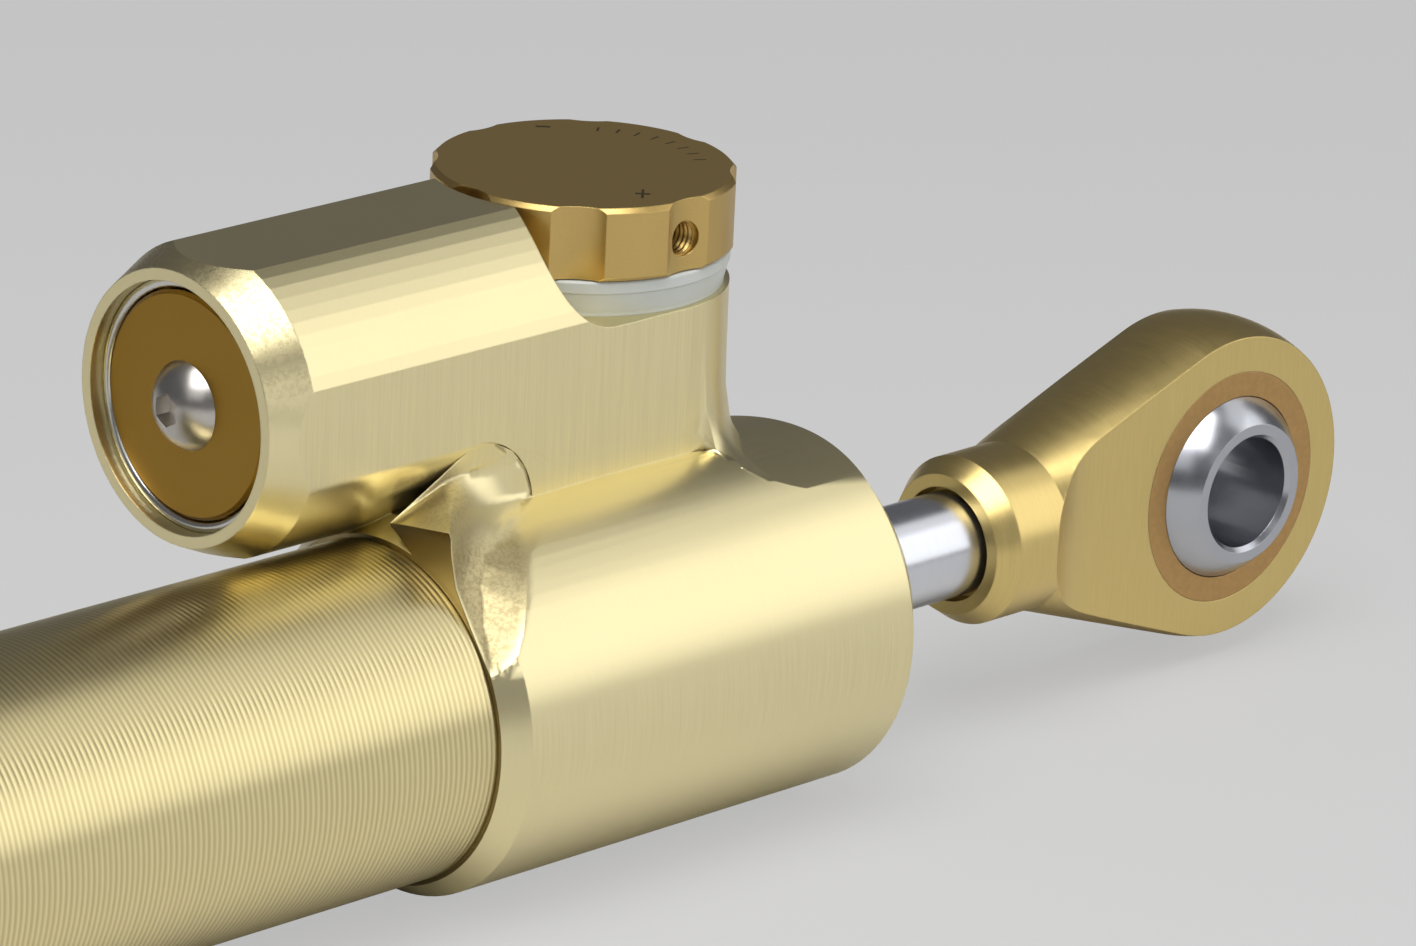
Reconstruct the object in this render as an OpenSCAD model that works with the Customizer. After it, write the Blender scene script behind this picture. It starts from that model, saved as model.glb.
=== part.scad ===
// Telescopic steering damper with a side reservoir, an adjuster knob and a spherical rod end.
// X runs along the rod towards the rod end, Z runs up along the knob's axis.
// The origin is on the tube's axis, in the middle of its free length, where the frame clamp sits.

/* [Tube] */
// Outside diameter of the damper tube
tube_d = 28.4; // [26:0.1:29]
// Wall of the damper tube
tube_wall = 1.7; // [1.4:0.1:2.2]
// Free length of the tube, from its end cap to the head
tube_len = 104; // [100:1:150]
// Depth of the relief turned at each end of the tube, beyond the land for the frame clamp
end_relief = 0.3; // [0.3:0.05:0.5]
// Length of tube between the clamp's land and the reservoir's end
land_gap = 1.45; // [0.5:0.05:5]
// Length of the tube's spigot inside the head
spigot_len = 10; // [8:0.5:12]
// Wall of the spigot
spigot_wall = 0.8; // [0.6:0.1:1.2]
// Thickness of the end cap's flange
cap_flange = 4; // [3:0.5:8]
// Bevel around the end cap's flange
cap_edge = 0.8; // [0.3:0.1:1.5]
// Length of the end cap's plug inside the tube
cap_plug = 8; // [6:0.5:8]
// Section of the O-rings that seal the tube and the floating piston
ring_section = 1.8; // [1.5:0.1:2]

/* [Head] */
// Diameter of the head's barrel
barrel_d = 32; // [31.6:0.1:36]
// Length of the barrel up to its front bevel
barrel_len = 45.3; // [44:0.1:60]
// Depth of the barrel's 45 degree front bevel
front_bevel = 3.5; // [1:0.5:5]
// Length of the turned chamfer at the barrel's tube end
back_chamfer_x = 2.2; // [1:0.1:4]
// Depth of the turned chamfer at the barrel's tube end
back_chamfer_r = 1.4; // [0.5:0.1:1.4]
// Height of the crowned deck in front of the tower, over the rod's axis
deck_z = 14.6; // [14:0.1:15]
// Radius of the crowned deck
deck_r = 30; // [25:1:40]

/* [Tower] */
// Distance of the knob's axis in front of the barrel's tube end
knob_x = 30.5; // [30:0.5:34]
// Sideways offset of the knob and the reservoir from the rod
upper_y = 10.4; // [10:0.1:11]
// Radius of the tower under the knob
tower_r = 12.45; // [12:0.05:13]
// Height of the tower's rim over the rod's axis
rim_z = 28.6; // [27.5:0.1:30]
// Radius of the hollow fillet round the tower's foot
foot_fillet = 8; // [7:0.5:9]
// Height of the far side's lower edge over the rod's axis
far_edge_z = 12; // [8:0.5:12]

/* [Reservoir] */
// Height of the reservoir's axis over the rod's axis
res_z = 25.6; // [25.4:0.1:26.5]
// Overhang of the reservoir past the barrel's tube end
res_overhang = 13.55; // [12:0.05:20]
// Radius of the reservoir housing's round corners
res_r = 13.03; // [12.9:0.01:13.3]
// Height of the housing's top flat over the reservoir's axis
res_top = 12.1; // [11.8:0.1:12.3]
// Radius of the reservoir's bore
res_bore_r = 10.4; // [10:0.1:10.6]
// Depth of the reservoir's bore from its mouth
res_depth = 31.5; // [31:0.5:34]
// Width of the bare face round the reservoir's mouth
mouth_land = 1; // [0.5:0.1:1.2]
// Length of the mouth's chamfer for each millimetre of its height
mouth_slope = 2.25; // [1:0.05:3]
// Milled facets on each upper shoulder of the housing
shoulder_facets = 10; // [3:1:12]
// Cutter radius of the corner between the housing and the web
pocket_r = 6.4; // [4:0.2:7]
// Distance of the web's back wall from the barrel's tube end
web_x = 14.3; // [14:0.1:15]
// Cutter radius where the housing ends beside the knob
relief_r = 5.9; // [5:0.1:6.5]

/* [Reservoir cap] */
// Recess of the cap's face in the reservoir's mouth
cap_recess = 1.1; // [0.8:0.1:2]
// Radius of the cap's raised face
cap_face_r = 9.4; // [9:0.1:9.5]
// Height of the cap's raised face
cap_face_h = 1.1; // [0.8:0.1:1.5]
// Length of the cap's sealing land
cap_land = 6; // [5:0.1:6.2]
// Wire diameter of the cap's retaining ring
clip_wire = 1; // [0.8:0.1:1]
// Radius of the fill screw's button head
screw_head_r = 3.7; // [3:0.1:4.5]
// Height of the fill screw's button head
screw_head_h = 2.2; // [1.5:0.1:2.5]
// Thread radius of the fill screw
screw_r = 2; // [1.5:0.5:2.5]
// Width across flats of the fill screw's socket
screw_hex = 2.5; // [2:0.5:3]
// Length of the floating piston
float_len = 6; // [5:0.5:6.5]

/* [Rod] */
// Diameter of the piston rod
rod_d = 9.2; // [8:0.1:10]
// Bare length of the rod between the head's front bevel and the rod end
rod_bare = 20.1; // [10:0.1:90]
// Travel of the rod inwards from the pose that is drawn
travel_in = 8; // [2:1:8]
// Travel of the rod outwards from the pose that is drawn
travel_out = 67; // [40:1:67]
// Length of the piston
piston_len = 10; // [8:0.5:14]
// Radial gap between the piston and the tube
piston_gap = 0.3; // [0.2:0.05:0.5]
// Width of the piston's glide band
band_w = 5; // [3:0.5:6]
// Thickness of the piston's glide band
band_t = 1.2; // [0.8:0.1:1.5]
// Flow holes through the piston
flow_holes = 6; // [4:1:8]
// Length of the rubber bump stop
bump_len = 5; // [3:0.5:8]
// Radius of the piston's stud
stud_r = 3; // [2.5:0.5:4]
// Length of the piston's nut
nut_len = 5; // [3:0.5:6]

/* [Rod end] */
// Bore of the swivel ball
ball_bore = 10; // [8:1:10]
// Diameter of the swivel ball
ball_d = 19.05; // [18.5:0.05:20]
// Width of the swivel ball across its faces
ball_w = 14.2; // [12:0.1:14.4]
// Radius of the eye
eye_r = 14.5; // [13.5:0.1:16]
// Thickness of the eye between its milled flats
eye_w = 9.6; // [9:0.1:10.4]
// Outside radius of the bearing race
race_r = 10.5; // [10.3:0.1:11]
// Radius of the rod end's collar
collar_r = 7.45; // [7:0.05:9]
// Length of the rod end's collar with its cone
collar_len = 7.9; // [6:0.1:12]
// Distance from the collar's face to the middle of the eye
eye_dist = 31.1; // [30:0.1:45]
// Cutter radius where the milled flats run out
flat_runout = 12; // [6:0.5:16]
// Distance from the collar's face to the start of the milled flats
flat_start = 13.8; // [12:0.1:15]

/* [Adjuster] */
// Radius of the knob
knob_r = 12.8; // [12:0.1:13]
// Height of the knob
knob_h = 6.2; // [5:0.1:9]
// Radial gap between the knob and the housing round it
knob_gap = 0.35; // [0.3:0.05:1.2]
// Finger scallops round the knob
scallops = 8; // [6:1:10]
// Cutter radius of a scallop
scallop_r = 5; // [3:0.5:8]
// Depth of a scallop
scallop_depth = 0.75; // [0.4:0.05:1]
// Height of the seal ring under the knob
seal_h = 3.1; // [2.5:0.1:4]
// Radius of the seal ring's lip
seal_r = 12.45; // [11.5:0.05:12.7]
// Thread radius of the knob's grub screw
grub_r = 1.5; // [1:0.25:1.5]
// Length of the grub screw
grub_len = 4; // [3:0.5:5]
// Depth of the hexagon socket in the grub screw
grub_socket = 1.5; // [1:0.5:2]
// Radius of the adjuster's spindle
spindle_r = 3; // [2.5:0.25:3.5]
// Outside radius of the valve gland
gland_r = 8; // [7:0.25:8.5]
// Click stops in a full turn of the knob
clicks = 24; // [12:2:30]
// Radius of the detent ball
detent_r = 1; // [0.8:0.1:1.2]
// Radius of the metering needle's stem
needle_r = 1.5; // [1:0.25:1.75]

/* [Fits] */
// Radial clearance between pieces that are screwed or pressed together
fit = 0.02; // [0.01:0.01:0.04]
// Radial clearance between pieces that slide or turn
run = 0.05; // [0.03:0.01:0.08]

/* [Hidden] */
$fn = 96;
eps = 0.01;
gold = "#cbb878";
deep_gold = "#b98d38";
steel = "#b9b9bb";
rubber = "#2a2a2b";

tube_r = tube_d / 2;
bore_r = tube_r - tube_wall;
tube_end_r = tube_r - end_relief;
land_len = tube_len - 2 * (res_overhang + land_gap);
long_cut = 40;
spigot_r = bore_r + spigot_wall;
head_x = tube_len / 2;
barrel_r = barrel_d / 2;
front_x = barrel_len + front_bevel;

// Rod gland, measured from the barrel's tube end
rod_r = rod_d / 2;
bush_wall = 2;
bush_x = spigot_len + 4;
bush_len = 16;
gland_x = bush_x + bush_len;
gland_bore_r = rod_r + 4.4;
seal_len = 5;
seal_lip = 1.6;
seal_hollow = 1.2;
washer_len = 2;
wiper_len = 6;
circlip_t = 1.2;
circlip_depth = 0.8;
lip_gap = 0.1;

// Piston stack, measured from the barrel's tube end
stop_gap = 0.5;
shim_t = 1;
shim_r = 8.6;
collar_face_x = barrel_len + rod_bare;
bump_x = spigot_len - travel_out - stop_gap - bump_len;
shoulder_x = bump_x;
piston_x = shoulder_x - shim_t - piston_len;
nut_x = piston_x - shim_t - nut_len;
stud_end_x = nut_x - 1;
flow_hole_r = 1.3;
flow_circle_r = stud_r + 3;
bump_r = rod_r + 3;

// Reservoir
// The flats lie a hair inside the tower, and faces that would only just touch cross by as much
bite = 0.05;
flat_half = tower_r - bite;
wall_y = upper_y - flat_half;
far_y = upper_y + flat_half;
mouth_x = -res_overhang;
cap_x = mouth_x + cap_recess;
flange_x = cap_x + cap_face_h;
cap_end_x = flange_x + cap_land;
float_ratio = pow(rod_r / res_bore_r, 2);
float_x = cap_end_x + travel_in * float_ratio + stop_gap;
port_r = 1.5;

// Valve and knob, heights over the rod's axis
knob_z = rim_z + seal_h + lip_gap;
knob_top_z = knob_z + knob_h;
grub_z = knob_z + knob_h * 0.45;
gland_z = rim_z - 10.6;
gland_top_z = knob_z - lip_gap;
seat_z = gland_z - 3.5;
seat_r = 4;
orifice_r = 1.2;
flange_r = spindle_r + 1.2;
flange_z = gland_z + 3;
flange_h = 1.25;
spindle_z = gland_z + 1;
spindle_top_z = knob_z + 4.6;
needle_z = seat_z - 0.5;
needle_top_z = spindle_z + 7;
detent_circle_r = spindle_r + 3.3;
passage_y = 8;
passage_z = 8;

// Rod end
eye_x = collar_face_x + eye_dist;
collar_end_x = collar_face_x + collar_len;
cone_dx = eye_x - collar_end_x;
cone_dist = sqrt(cone_dx * cone_dx + collar_r * collar_r);
cone_angle = asin(eye_r / cone_dist) - atan(collar_r / cone_dx);
eye_tangent_x = eye_x - eye_r * sin(cone_angle);
rod_thread_r = rod_r - 0.6;
rod_thread_len = 12;
rod_socket = 2;
rod_socket_gap = 0.45;

function arc(cx, cy, r, a0, a1, n) = [for (i = [0:n]) let (a = a0 + (a1 - a0) * i / n)
    [cx + r * cos(a), cy + r * sin(a)]];

// Places children on the rod's axis, z along X, measured from the barrel's tube end
module along_x(x = 0) translate([head_x + x, 0, 0]) rotate([0, 90, 0]) children();

// The same on the reservoir's axis
module along_res(x = 0) translate([head_x + x, upper_y, res_z]) rotate([0, 90, 0]) children();

// Places children on the knob's axis at a height over the rod's axis
module up_knob(z = 0) translate([head_x + knob_x, upper_y, z]) children();

module sleeve(h, r_out, r_in) difference() {
    cylinder(h = h, r = r_out);
    translate([0, 0, -eps]) cylinder(h = h + 2 * eps, r = r_in);
}

module o_ring(r_out, section)
    rotate_extrude() translate([r_out - section / 2, 0]) circle(d = section, $fn = 32);

module groove(z, w, r_out, r_in) translate([0, 0, z]) sleeve(w, r_out, r_in);

// Outline of everything above the barrel, seen along X
module upper_outline() {
    reach = sqrt(far_y * far_y + far_edge_z * far_edge_z);
    foot_r = barrel_r - 3 * bite;
    touch = atan2(far_edge_z, far_y) - acos(foot_r / reach);
    polygon([[-barrel_r, 0], [-barrel_r, 60], [far_y, 60], [far_y, far_edge_z],
             [foot_r * cos(touch), foot_r * sin(touch)], [0, 0]]);
}

module slab_x(x0, x1) translate([head_x + x0, 0, 0]) rotate([90, 0, 90]) linear_extrude(x1 - x0) children();

module barrel() along_x() rotate_extrude() polygon([[0, 0], [barrel_r - back_chamfer_r, 0],
    [barrel_r, back_chamfer_x], [barrel_r, barrel_len], [barrel_r - front_bevel, front_x], [0, front_x]]);

// Plan outline of the milled deck, which starts where the tower's flat runs out in an arc
module deck_plan() polygon(concat([[knob_x, far_y], [knob_x, wall_y]],
    arc(knob_x + 1.3, wall_y - 3, 3, 90, 0, 12),
    [[knob_x + 4.6, -5.9], [knob_x + 5.15, -6.7], [knob_x + 5.8, -7.5], [knob_x + 7.1, -8.3],
     [knob_x + 9, -9.2], [knob_x + 12, -barrel_r], [front_x, -barrel_r], [front_x, far_y]]));

module over_deck(z0, z1) translate([head_x, 0, z0]) linear_extrude(z1 - z0) deck_plan();

// The barrel with its top milled down to the crowned deck in front of the tower
module milled_barrel() difference() {
    barrel();
    difference() {
        over_deck(0, 40);
        translate([0, 0, deck_z - deck_r]) along_x(-1) cylinder(h = 100, r = deck_r, $fn = 128);
    }
}

// Foot of the tower from its flat round to the deck. Each row is an angle about the knob's axis, then
// the radius at each height of foot_heights, so the foot fans out from a point into a wing
foot_top_z = 19;
foot_low_z = 11;
foot_core_r = 9;
foot_flare = 2.2;
foot_fillet_h = 11;
foot_heights = [foot_top_z, 17.5, 16.2, 15.5, 14.9, 14.4, 13.9];
foot_rows = [
    [-76, 12.4, 12.65, 13.2, 14.9, 16.8, 18.2, 19.4],
    [-72, 12.4, 12.7, 13.3, 14.3, 16.0, 17.8, 19.0],
    [-68, 12.4, 12.7, 13.35, 14.0, 15.0, 16.9, 18.2],
    [-64, 12.4, 12.7, 13.3, 13.8, 14.55, 15.9, 17.2],
    [-60, 12.4, 12.7, 13.25, 13.7, 14.25, 15.2, 16.4],
    [-55, 12.4, 12.65, 13.2, 13.6, 14.0, 14.6, 15.4],
    [-50, 12.4, 12.65, 13.15, 13.5, 13.9, 14.3, 14.8],
    [-45, 12.4, 12.6, 13.1, 13.45, 13.8, 14.15, 14.6],
    [-38, 12.4, 12.55, 13.0, 13.35, 13.7, 14.0, 14.4]];

// Solid through rows of points, each row one closed outline
module loft(rows) {
    n = len(rows[0]);
    last = len(rows) - 1;
    polyhedron(points = [for (row = rows) each row], faces = concat(
        [for (i = [0:last - 1], j = [0:n - 1]) [i * n + j, (i + 1) * n + j, (i + 1) * n + (j + 1) % n]],
        [for (i = [0:last - 1], j = [0:n - 1]) [i * n + j, (i + 1) * n + (j + 1) % n, i * n + (j + 1) % n]],
        [for (j = [0:n - 3]) [n - 1, j, j + 1]],
        [for (j = [0:n - 3]) [last * n + n - 1, last * n + j + 1, last * n + j]]));
}

module foot_wing() up_knob() loft([for (row = foot_rows)
    let (c = cos(row[0]), s = sin(row[0]))
    concat([[foot_core_r * c, foot_core_r * s, foot_heights[0]]],
        [for (k = [0:len(foot_heights) - 1]) [row[k + 1] * c, row[k + 1] * s, foot_heights[k]]],
        [[row[len(foot_heights)] * c, row[len(foot_heights)] * s, foot_low_z],
            [foot_core_r * c, foot_core_r * s, foot_low_z]])]);

// Hollow fillet turned about the knob's axis, cut off by the flat
module foot_fillet_ring() intersection() {
    up_knob() rotate_extrude() difference() {
        translate([foot_core_r, foot_top_z - foot_fillet_h])
            square([flat_half + foot_flare - foot_core_r, foot_fillet_h]);
        translate([flat_half + foot_fillet, foot_top_z]) circle(r = foot_fillet, $fn = 128);
    }
    translate([head_x, wall_y, 0]) cube([front_x - front_bevel, 2 * flat_half, long_cut]);
    slab_x(0, front_x) upper_outline();
}

module tower() intersection() {
    up_knob() cylinder(h = rim_z, r = tower_r);
    slab_x(0, front_x) upper_outline();
}

module web() intersection() {
    slab_x(web_x, knob_x) upper_outline();
    translate([head_x + web_x, wall_y, -barrel_r]) cube([knob_x - web_x, 2 * flat_half, res_z + barrel_r]);
}

// Hollow corner between the reservoir housing and the web's back wall
module web_corner() {
    low_z = sqrt(res_r * res_r - flat_half * flat_half);
    translate([head_x + web_x - pocket_r, wall_y, res_z - low_z - pocket_r]) difference() {
        translate([bite, 0, bite]) cube([pocket_r, 2 * flat_half, pocket_r + low_z]);
        rotate([-90, 0, 0]) translate([0, 0, -1]) cylinder(h = 2 * flat_half + 2, r = pocket_r);
    }
}

module reservoir_housing() {
    side_a = acos(flat_half / res_r);
    top_a = asin(res_top / res_r);
    far = [for (i = [0:shoulder_facets]) let (a = side_a + (top_a - side_a) * i / shoulder_facets)
        [res_r * cos(a), res_r * sin(a)]];
    near = [for (i = [shoulder_facets:-1:0]) [-far[i][0], far[i][1]]];
    cone_x = mouth_x + (res_r + 1 - res_bore_r - mouth_land) * mouth_slope;
    intersection() {
        union() {
            translate([0, upper_y, res_z]) slab_x(mouth_x, knob_x)
                polygon(concat([[-flat_half, 0], [flat_half, 0]], far, near));
            intersection() {
                along_res(mouth_x) cylinder(h = res_overhang + knob_x, r = res_r, $fn = 128);
                translate([head_x + mouth_x, wall_y, res_z - res_top])
                    cube([res_overhang + knob_x, 2 * flat_half, res_top]);
            }
        }
        along_res() rotate_extrude() polygon([[0, mouth_x], [res_bore_r + mouth_land, mouth_x],
            [res_r + 1, cone_x], [res_r + 9, cone_x], [res_r + 9, knob_x], [0, knob_x]]);
    }
}

module head_block() color(gold) difference() {
    union() {
        milled_barrel();
        foot_wing();
        foot_fillet_ring();
        tower();
        web();
        web_corner();
        reservoir_housing();
    }
    // Seat of the tube's spigot
    along_x(-eps) cylinder(h = spigot_len + eps, r = spigot_r + fit);
    along_x(spigot_len - eps) groove(0, ring_section / 2 + eps, spigot_r + fit,
        spigot_r - ring_section / 2 - fit);
    // Rod passage, guide bush seat and gland
    along_x() cylinder(h = front_x, r = rod_r + 0.8);
    along_x(bush_x) cylinder(h = front_x, r = rod_r + bush_wall + fit);
    along_x(gland_x) cylinder(h = front_x, r = gland_bore_r);
    along_x(gland_x + seal_len + washer_len + wiper_len)
        cylinder(h = circlip_t + 2 * fit, r = gland_bore_r + circlip_depth);
    // Space for the knob
    up_knob(rim_z) cylinder(h = long_cut, r = knob_r + knob_gap);
    translate([head_x + knob_x - 7.3, far_y + 1, rim_z + relief_r]) rotate([90, 0, 0])
        cylinder(h = 2 * flat_half + 2, r = relief_r);
    translate([head_x + knob_x - 7.3, wall_y - 1, rim_z]) cube([long_cut, 2 * flat_half + 2, long_cut]);
    // Reservoir bore and its wire groove
    along_res(mouth_x - eps) cylinder(h = res_depth + eps, r = res_bore_r);
    along_res(flange_x) rotate_extrude() translate([cap_face_r + 0.1 + clip_wire / 2, -clip_wire / 2])
        circle(d = clip_wire + 2 * fit, $fn = 32);
    // Oil way from the reservoir to the valve and on to the tube
    along_res(mouth_x + res_depth - eps) cylinder(h = knob_x - mouth_x - res_depth, r = port_r, $fn = 48);
    up_knob(gland_z) cylinder(h = long_cut, r = gland_r + fit);
    up_knob(seat_z) cylinder(h = long_cut, r = seat_r + fit);
    up_knob(passage_z) cylinder(h = seat_z - passage_z + eps, r = port_r + 1, $fn = 48);
    translate([0, passage_y, passage_z]) along_x(spigot_len - eps)
        cylinder(h = knob_x - spigot_len, r = port_r, $fn = 48);
}

module damper_tube() color(gold) difference() {
    union() {
        along_x(-tube_len) cylinder(h = tube_len, r = tube_end_r);
        along_x(-(tube_len + land_len) / 2) cylinder(h = land_len, r = tube_r);
        along_x(-1) cylinder(h = spigot_len + 1, r = spigot_r);
    }
    along_x(-tube_len - eps) cylinder(h = tube_len + spigot_len + 2 * eps, r = bore_r);
}

module tube_end_cap() color(deep_gold) along_x(-tube_len) difference() {
    rotate_extrude() polygon([[0, -cap_flange], [tube_end_r - cap_edge, -cap_flange],
        [tube_end_r, cap_edge - cap_flange], [tube_end_r, 0], [bore_r - fit, 0],
            [bore_r - fit, cap_plug], [0, cap_plug]]);
    groove(cap_plug / 2 - ring_section * 0.6, ring_section * 1.2, bore_r, bore_r - ring_section - 2 * fit);
    for (s = [-1, 1]) translate([s * tube_r * 0.55, 0, -cap_flange - eps])
        cylinder(h = 2.5, r = 1.5, $fn = 32);
}

module end_cap_o_ring() color(rubber) along_x(-tube_len + cap_plug / 2) o_ring(bore_r - fit, ring_section);

module head_o_ring() color(rubber) along_x(spigot_len + ring_section / 4)
    o_ring(spigot_r, ring_section / 2 - fit);

module rod_guide_bush() color("#8d7a52") along_x(bush_x) sleeve(bush_len, rod_r + bush_wall, rod_r + run);

module rod_seal() color(rubber) along_x(gland_x) difference() {
    sleeve(seal_len, gland_bore_r - fit, rod_r + run);
    translate([0, 0, seal_len * 0.5]) sleeve(seal_len, rod_r + seal_lip + seal_hollow, rod_r + seal_lip);
}

module seal_backing_washer() color(steel) along_x(gland_x + seal_len)
    sleeve(washer_len, gland_bore_r - fit, rod_r + 0.3);

module rod_wiper() color(rubber) along_x(gland_x + seal_len + washer_len) rotate_extrude() polygon([
    [rod_r + 1.2, 0], [gland_bore_r - fit, 0], [gland_bore_r - fit, wiper_len], [rod_r + 2.5, wiper_len],
    [rod_r + 1, wiper_len + 1.6], [rod_r + run, wiper_len + 1.6], [rod_r + run, wiper_len - 1.4]]);

module gland_circlip() color(steel) along_x(gland_x + seal_len + washer_len + wiper_len + fit) difference() {
    sleeve(circlip_t, gland_bore_r + circlip_depth - fit, gland_bore_r - 1.4);
    translate([gland_bore_r - 3, -1.5, -eps]) cube([6, 3, circlip_t + 2 * eps]);
}

module reservoir_cap() color(deep_gold) along_res(cap_x) difference() {
    rotate_extrude() polygon([[0, 0], [cap_face_r - 0.3, 0], [cap_face_r, 0.3], [cap_face_r, cap_face_h],
        [res_bore_r - fit, cap_face_h], [res_bore_r - fit, cap_face_h + cap_land],
            [0, cap_face_h + cap_land]]);
    groove(cap_face_h + cap_land / 2 - ring_section * 0.6, ring_section * 1.2, res_bore_r,
           res_bore_r - ring_section - 2 * fit);
    translate([0, 0, -eps]) cylinder(h = cap_face_h + cap_land + 2 * eps, r = screw_r + fit, $fn = 48);
}

module cap_o_ring() color(rubber) along_res(flange_x + cap_land / 2) o_ring(res_bore_r - fit, ring_section);

module cap_retaining_ring() color(steel) along_res(flange_x - clip_wire / 2) difference() {
    o_ring(cap_face_r + 0.1 + clip_wire, clip_wire);
    rotate([0, 0, 200]) translate([cap_face_r, -1, -1]) cube([3, 2, 2]);
}

module cap_fill_screw() color(steel) along_res(cap_x) difference() {
    union() {
        intersection() {
            dome_r = (screw_head_r * screw_head_r + screw_head_h * screw_head_h) / (2 * screw_head_h);
            translate([0, 0, dome_r - screw_head_h]) sphere(r = dome_r);
            translate([0, 0, -screw_head_h]) cylinder(h = screw_head_h, r = screw_head_r);
        }
        translate([0, 0, -eps]) cylinder(h = cap_face_h + cap_land, r = screw_r, $fn = 48);
    }
    translate([0, 0, -screw_head_h - eps])
        cylinder(h = screw_head_h * 0.75, d = screw_hex / cos(30), $fn = 6);
}

module floating_piston() color("#9a9a9c") along_res(float_x) difference() {
    cylinder(h = float_len, r = res_bore_r - run);
    translate([0, 0, -eps]) cylinder(h = float_len * 0.5, r = res_bore_r * 0.6);
    groove(float_len / 2 - ring_section * 0.6, ring_section * 1.2, res_bore_r,
           res_bore_r - run - ring_section);
}

module floating_piston_o_ring() color(rubber) along_res(float_x + float_len / 2)
    o_ring(res_bore_r - run, ring_section - 2 * fit);

module valve_gland() color(steel) difference() {
    up_knob(gland_z) cylinder(h = gland_top_z - gland_z, r = gland_r);
    up_knob(gland_z - eps) cylinder(h = long_cut, r = spindle_r + run);
    up_knob(gland_z - eps) cylinder(h = flange_z + flange_h + run - gland_z + eps, r = flange_r + run);
    up_knob(rim_z - 3) groove(0, ring_section * 0.7, gland_r + 1, gland_r - ring_section * 0.6);
    up_knob(rim_z - 5) sleeve(ring_section, spindle_r + ring_section, spindle_r);
    for (i = [0:clicks - 1]) up_knob(gland_top_z - 0.3) rotate([0, 0, 360 * (i + 0.5) / clicks])
        translate([detent_circle_r, 0, 0]) cylinder(h = 1, r = 0.5, $fn = 24);
}

module gland_o_ring() color(rubber) up_knob(rim_z - 3 + ring_section * 0.35)
    o_ring(gland_r, ring_section * 0.6 - 2 * fit);

module valve_seat() color("#b5a05a") up_knob(seat_z) sleeve(gland_z - seat_z, seat_r, orifice_r);

module knob_seal_ring() color("#c6c9c5") up_knob(rim_z) difference() {
    rotate_extrude() polygon([[gland_r + 0.3, 0], [seal_r - 0.5, 0], [seal_r - 0.5, 0.3],
        [seal_r - 0.1, 1.9],
        [seal_r - 0.1, 2], [seal_r, 2.1], [seal_r, seal_h - 0.15], [seal_r - 0.15, seal_h],
            [gland_r + 0.3, seal_h]]);
}

module damping_knob() color(deep_gold) up_knob(knob_z) difference() {
    rotate_extrude() polygon([[0, 0], [knob_r - 0.3, 0], [knob_r, 0.3], [knob_r, knob_h - 0.4],
        [knob_r - 0.4, knob_h], [0, knob_h]]);
    for (i = [0:scallops - 1]) rotate([0, 0, -90 + 360 * i / scallops])
        translate([knob_r + scallop_r - scallop_depth, 0, -eps])
            cylinder(h = knob_h + 2 * eps, r = scallop_r);
    translate([0, 0, -eps]) cylinder(h = spindle_top_z - knob_z + fit + eps, r = spindle_r + fit);
    translate([0, 0, grub_z - knob_z]) rotate([90, 0, 0])
        cylinder(h = knob_r + 1, r = grub_r + fit, $fn = 48);
    rotate([0, 0, 90]) translate([detent_circle_r, 0, -eps])
        cylinder(h = knob_h - 2, r = detent_r + 0.5 + fit, $fn = 48);
}

module knob_grub_screw() color("#55565a") up_knob(grub_z) rotate([90, 0, 0]) difference() {
    translate([0, 0, spindle_r + fit]) cylinder(h = grub_len, r = grub_r, $fn = 48);
    translate([0, 0, spindle_r + grub_len - grub_socket])
        cylinder(h = grub_len, d = grub_r / cos(30), $fn = 6);
}

module adjuster_spindle() color(steel) difference() {
    union() {
        up_knob(spindle_z) cylinder(h = spindle_top_z - spindle_z, r = spindle_r);
        up_knob(flange_z) cylinder(h = flange_h, r = flange_r);
    }
    up_knob(spindle_z - eps) cylinder(h = needle_top_z - spindle_z + 1, r = needle_r + run, $fn = 48);
}

module spindle_o_ring() color(rubber) up_knob(rim_z - 5 + ring_section / 2)
    o_ring(spindle_r + ring_section - fit, ring_section - run - 2 * fit);

module detent_plunger() color(steel) up_knob(knob_z + detent_r) rotate([0, 0, 90])
    translate([detent_circle_r, 0, 0]) difference() {
        cylinder(h = knob_h - 2 - detent_r - fit, r = detent_r + 0.5, $fn = 48);
        translate([0, 0, -eps]) cylinder(h = detent_r, r = detent_r + fit, $fn = 48);
    }

module detent_ball() color(steel) up_knob(gland_top_z + detent_r + run) rotate([0, 0, 90])
    translate([detent_circle_r, 0, 0]) sphere(r = detent_r, $fn = 48);

module metering_needle() color(steel) up_knob() rotate_extrude() polygon([[0, needle_z], [0.3, needle_z],
    [orifice_r - 0.25, gland_z - 0.5], [orifice_r - 0.25, gland_z + 0.6], [needle_r, gland_z + 0.9],
    [needle_r, needle_top_z], [0, needle_top_z]]);

module piston_rod() color(steel) difference() {
    union() {
        along_x(shoulder_x) cylinder(h = collar_face_x + rod_socket - shoulder_x, r = rod_r);
        along_x(stud_end_x) cylinder(h = shoulder_x - stud_end_x + 1, r = stud_r);
        along_x(collar_face_x) cylinder(h = rod_socket + rod_thread_len, r = rod_thread_r);
    }
}

module piston() color("#a8a9ab") along_x(piston_x) difference() {
    cylinder(h = piston_len, r = bore_r - piston_gap);
    translate([0, 0, -eps]) cylinder(h = piston_len + 1, r = stud_r + fit, $fn = 48);
    groove((piston_len - band_w) / 2, band_w, bore_r, bore_r - run - band_t - run);
    for (i = [0:flow_holes - 1]) rotate([0, 0, 360 * i / flow_holes])
        translate([flow_circle_r, 0, -eps]) cylinder(h = piston_len + 1, r = flow_hole_r, $fn = 32);
}

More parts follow.
